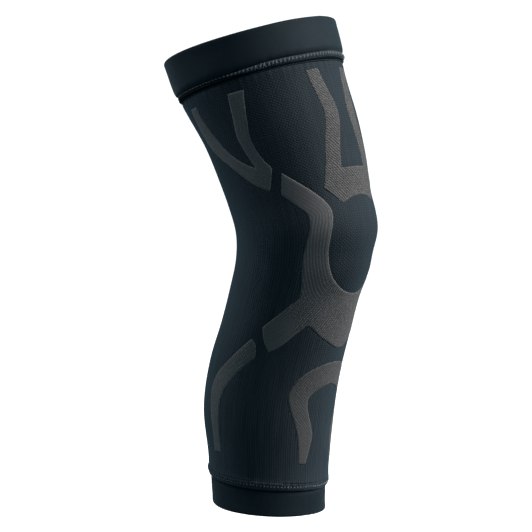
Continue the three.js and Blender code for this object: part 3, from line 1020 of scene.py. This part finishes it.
short_tick = scaled(tick_reach, 0.5)
bottom_threads = [
    (stitch_paths(stitch_line, tick_reach, 0.8, STITCHES_BOTTOM, over_line(0.0002), 35), 0.00034),
    (stitch_paths(stitch_line, short_tick, -3.0, STITCHES_BOTTOM, over_line(0.0001), 37), 0.00022),
]
bottom_materials = [KNIT, ROLL_PAINTED_SHADE, BOTTOM_THREAD]
bottom_seam = seam_piece("bottom_seam_stitched", bottom_rows, bottom_kinds, bottom_materials, bottom_threads)
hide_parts("bottom_seam")

for piece in PIECES:
    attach(piece, "root")

# The stage: a pale floor that curves up into a wall
FLOOR_LEVEL, FLOOR_REACH, FLOOR_CURVE, WALL_TOP = -0.42, 4.5, 1.5, 3.0
FLOOR_SIDES, CURVE_STEPS = 72, 12
floor_mesh = bpy.data.meshes.new("floor")
rings = [(FLOOR_REACH * k / 4, 0.0) for k in range(1, 4)]
for bend in [k * math.pi / (2 * CURVE_STEPS) for k in range(CURVE_STEPS + 1)]:
    rings.append((FLOOR_REACH + FLOOR_CURVE * math.sin(bend), FLOOR_CURVE * (1 - math.cos(bend))))
rings.append((FLOOR_REACH + FLOOR_CURVE, WALL_TOP))
turns = [TURN * k / FLOOR_SIDES for k in range(FLOOR_SIDES)]
verts = [(0, 0, FLOOR_LEVEL)]
verts += [(far * math.cos(k), far * math.sin(k), FLOOR_LEVEL + up) for far, up in rings for k in turns]
floor_faces = [(0, 1 + k, 1 + (k + 1) % FLOOR_SIDES) for k in range(FLOOR_SIDES)]
for i in range(len(rings) - 1):
    for k in range(FLOOR_SIDES):
        near, far, on = 1 + i * FLOOR_SIDES, 1 + (i + 1) * FLOOR_SIDES, (k + 1) % FLOOR_SIDES
        floor_faces.append((near + k, far + k, far + on, near + on))
floor_mesh.from_pydata(verts, [], floor_faces)
floor_mesh.polygons.foreach_set("use_smooth", [True] * len(floor_faces))
paper = bpy.data.materials.new("pale_floor")
paper.use_nodes = True
paper_inputs = paper.node_tree.nodes["Principled BSDF"].inputs
paper_inputs["Base Color"].default_value = (0.45, 0.44, 0.43, 1)
paper_inputs["Emission Color"].default_value = (1, 1, 1, 1)
paper_inputs["Emission Strength"].default_value = 0.88
paper_inputs["Roughness"].default_value = 0.9
floor_mesh.materials.append(paper)
floor = bpy.data.objects.new("floor", floor_mesh)
bpy.context.collection.objects.link(floor)
floor.visible_diffuse = False
floor.visible_glossy = False


def area_light(name, place, size, power, color=(1, 1, 1)):
    """A light that shines at the origin."""
    data = bpy.data.lights.new(name, "AREA")
    data.shape = "RECTANGLE"
    data.size, data.size_y = size
    data.energy = power
    data.color = color
    light = bpy.data.objects.new(name, data)
    light.location = place
    light.rotation_mode = "QUATERNION"
    light.rotation_quaternion = (-Vector(place)).to_track_quat("-Z", "Y")
    bpy.context.collection.objects.link(light)


CAMERA_TURN = math.radians(-54)
AHEAD = Vector((-math.sin(CAMERA_TURN), math.cos(CAMERA_TURN), 0))
ASIDE = Vector((math.cos(CAMERA_TURN), math.sin(CAMERA_TURN), 0))


def at(right, toward, up):
    """A place given from the camera's side: to its right, towards it, and up."""
    return tuple(ASIDE * right - AHEAD * toward + Vector((0, 0, up)))


area_light("key", at(2.5, 0.5, 1.6), (1.4, 1.6), 258, (1.0, 0.98, 0.96))
area_light("side", at(-2.2, -0.6, 1.9), (0.8, 1.4), 78, (0.88, 0.95, 1.0))
area_light("top", at(0.3, 0.2, 3.4), (3.0, 3.0), 55)
world = bpy.data.worlds.new("studio")
world.use_nodes = True
sky = world.node_tree.nodes["Background"].inputs
sky["Color"].default_value = (0.46, 0.84, 1, 1)
sky["Strength"].default_value = 0.33
bpy.context.scene.world = world
bpy.context.scene.view_settings.view_transform = "Standard"

# The camera, at the photograph's angle
SENSOR, LENS = 36, 175.3
CAMERA_PLACE = (-1.7296, -1.2501, 0.2047)
CAMERA_TARGET = Vector((-0.0166, 0.0293, -0.020))
camera_data = bpy.data.cameras.new("camera")
camera_data.sensor_width = SENSOR
camera_data.lens = LENS
camera = bpy.data.objects.new("camera", camera_data)
bpy.context.collection.objects.link(camera)
camera.location = CAMERA_PLACE
camera.rotation_mode = "QUATERNION"
camera.rotation_quaternion = (CAMERA_TARGET - camera.location).to_track_quat("-Z", "Y")
bpy.context.scene.camera = camera
